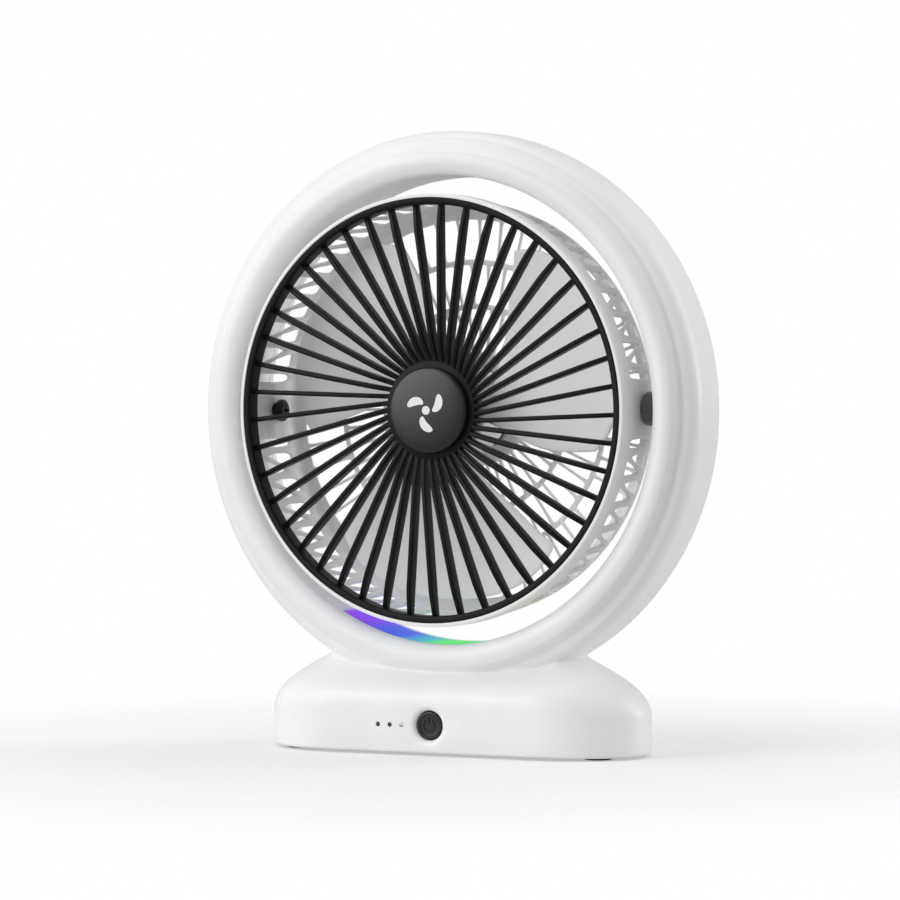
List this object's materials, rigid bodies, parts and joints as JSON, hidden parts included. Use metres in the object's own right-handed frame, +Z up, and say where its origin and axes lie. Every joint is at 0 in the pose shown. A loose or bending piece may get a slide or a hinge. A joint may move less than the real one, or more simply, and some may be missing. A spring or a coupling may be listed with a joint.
{
  "type": "desk fan",
  "caption": "Small rechargeable desk fan: a round head with a radial grille tilts on side pivots inside a ring stand that glows at its lower inside, on an oblong base with a power button.",
  "frame": {"origin": "on the table under the middle of the base, at the centre of the underside of the bounding box", "axes": "+X to the fan's right as seen from the front, -Y the way the air blows, +Z up"},
  "size_m": [0.193, 0.047, 0.215],
  "materials": {
    "white_plastic": "satin moulded ABS, fine texture",
    "light_diffuser": "frosted translucent polycarbonate, lit from behind",
    "black_plastic": "satin black moulded ABS",
    "grey_plastic": "dark grey moulded ABS",
    "blade_plastic": "pale grey polypropylene, slightly translucent",
    "rubber": "matt moulded rubber",
    "steel": "bright zinc plated steel",
    "brass": "oiled sintered bronze",
    "copper_winding": "enamelled copper wire on a steel core",
    "circuit_board": "green solder mask over fibreglass",
    "battery_wrap": "blue shrink sleeve over a steel can",
    "clear_plastic": "smoked clear acrylic"
  },
  "bodies": {
    "stand": {"body_front_shell": "white_plastic", "body_rear_shell": "white_plastic", "bottom_cover": "white_plastic", "ring_liner": "white_plastic", "light_diffuser": "light_diffuser", "led_strip": "circuit_board", "battery_cell": "battery_wrap", "battery_cradle": "grey_plastic", "control_board": "circuit_board", "tactile_switch": "grey_plastic", "charging_board": "circuit_board", "charging_port": "steel", "port_tongue": "black_plastic", "indicator_light_pipe": "clear_plastic", "pivot_socket_left": "grey_plastic", "pivot_socket_right": "grey_plastic", "friction_washer_left": "rubber", "friction_washer_right": "rubber", "rubber_foot_1": "rubber", "rubber_foot_2": "rubber", "rubber_foot_3": "rubber", "rubber_foot_4": "rubber", "bottom_screw_1": "steel", "bottom_screw_2": "steel", "bottom_screw_3": "steel", "bottom_screw_4": "steel", "shell_screw_1": "steel", "shell_screw_2": "steel", "shell_screw_3": "steel", "shell_screw_4": "steel"},
    "head": {"rear_basket": "white_plastic", "front_grille": "black_plastic", "grille_cap": "grey_plastic", "motor_base": "steel", "motor_board": "circuit_board", "stator_core": "copper_winding", "bearing_sleeve": "brass", "motor_rear_cover": "white_plastic", "motor_screw_1": "steel", "motor_screw_2": "steel", "motor_screw_3": "steel", "pivot_pin_left": "grey_plastic", "pivot_pin_right": "grey_plastic", "pivot_bush_left": "grey_plastic", "pivot_bush_right": "grey_plastic", "pivot_nut_left": "steel", "pivot_nut_right": "steel"},
    "fan": {"fan_blades": "blade_plastic", "rotor_cup": "steel", "rotor_magnet": "grey_plastic", "motor_shaft": "steel", "shaft_clip": "steel"},
    "button": {"power_button": "grey_plastic", "switch_plunger": "black_plastic"}
  },
  "joints": [
    {"name": "head_tilt", "type": "hinge", "parent": "stand", "child": "head", "pos_m": [0, -0.002, 0.1185], "axis": [1, 0, 0], "range_deg": [-90, 90]},
    {"name": "fan_spin", "type": "hinge", "parent": "head", "child": "fan", "pos_m": [0, -0.002, 0.1185], "axis": [0, -1, 0], "continuous": true},
    {"name": "button_press", "type": "slide", "parent": "stand", "child": "button", "axis": [0, 1, 0], "range_m": [0, 0.0006], "stiffness_N_per_m": 2000, "springref_m": -0.0004}
  ]
}
